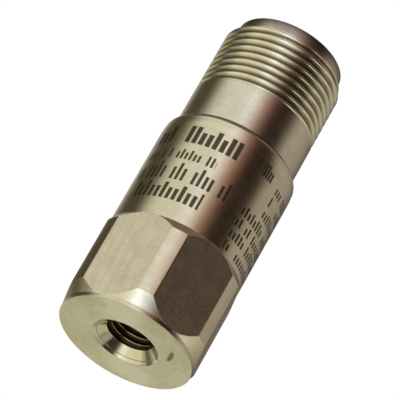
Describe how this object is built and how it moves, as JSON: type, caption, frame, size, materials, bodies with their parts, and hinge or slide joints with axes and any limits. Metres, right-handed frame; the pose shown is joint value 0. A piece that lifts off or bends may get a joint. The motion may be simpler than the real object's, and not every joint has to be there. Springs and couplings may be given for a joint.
{
  "type": "vibration sensor",
  "caption": "Industrial vibration sensor: hexagonal base with a tapped mounting hole, round welded steel body, and a screw-threaded pin connector on top.",
  "frame": {"origin": "centre of the mounting face on the hexagonal base", "axes": "+Z along the sensor's axis from the mounting face to the connector; one hexagon flat faces -Y; the pins lie along X and the connector's key is at +Y"},
  "size_m": [0.019, 0.0176, 0.0456],
  "materials": {
    "housing_steel": "turned and milled stainless steel, satin",
    "connector_steel": "turned stainless steel, satin",
    "weld_metal": "laser weld, faintly straw-tinted",
    "header_steel": "plain steel",
    "sealing_glass": "dark sealing glass",
    "pin_gold": "gold-plated contact",
    "washer_ceramic": "white alumina",
    "sleeve_film": "amber insulating film",
    "element_steel": "ground steel",
    "piezo_ceramic": "lead zirconate ceramic",
    "mass_tungsten": "sintered tungsten alloy",
    "can_brass": "drawn brass",
    "grommet_rubber": "matt rubber",
    "carrier_plastic": "machined engineering plastic",
    "board_laminate": "glass-fibre laminate with solder mask",
    "chip_black": "moulded package",
    "capacitor_tan": "ceramic block",
    "resistor_black": "glazed ceramic block",
    "lead_red": "insulated lead",
    "lead_white": "insulated lead"
  },
  "bodies": {
    "root": {"housing": "housing_steel", "weld_bead": "weld_metal", "connector_shell": "connector_steel", "header_ring": "header_steel", "glass_seal": "sealing_glass", "pin_a": "pin_gold", "pin_b": "pin_gold", "isolation_washer": "washer_ceramic", "isolation_sleeve": "sleeve_film", "element_post": "element_steel", "piezo_plate_a": "piezo_ceramic", "piezo_plate_b": "piezo_ceramic", "piezo_plate_c": "piezo_ceramic", "seismic_mass_a": "mass_tungsten", "seismic_mass_b": "mass_tungsten", "seismic_mass_c": "mass_tungsten", "preload_ring": "header_steel", "shield_can": "can_brass", "lead_grommet": "grommet_rubber", "board_carrier": "carrier_plastic", "circuit_board": "board_laminate", "board_spacer": "carrier_plastic", "amplifier_chip": "chip_black", "coupling_capacitor": "capacitor_tan", "bypass_capacitor": "capacitor_tan", "gate_resistor": "resistor_black", "bias_resistor": "resistor_black", "protection_diode": "chip_black", "signal_lead": "lead_red", "ground_lead": "lead_white", "output_lead_a": "lead_white", "output_lead_b": "lead_red"}
  },
  "joints": []
}
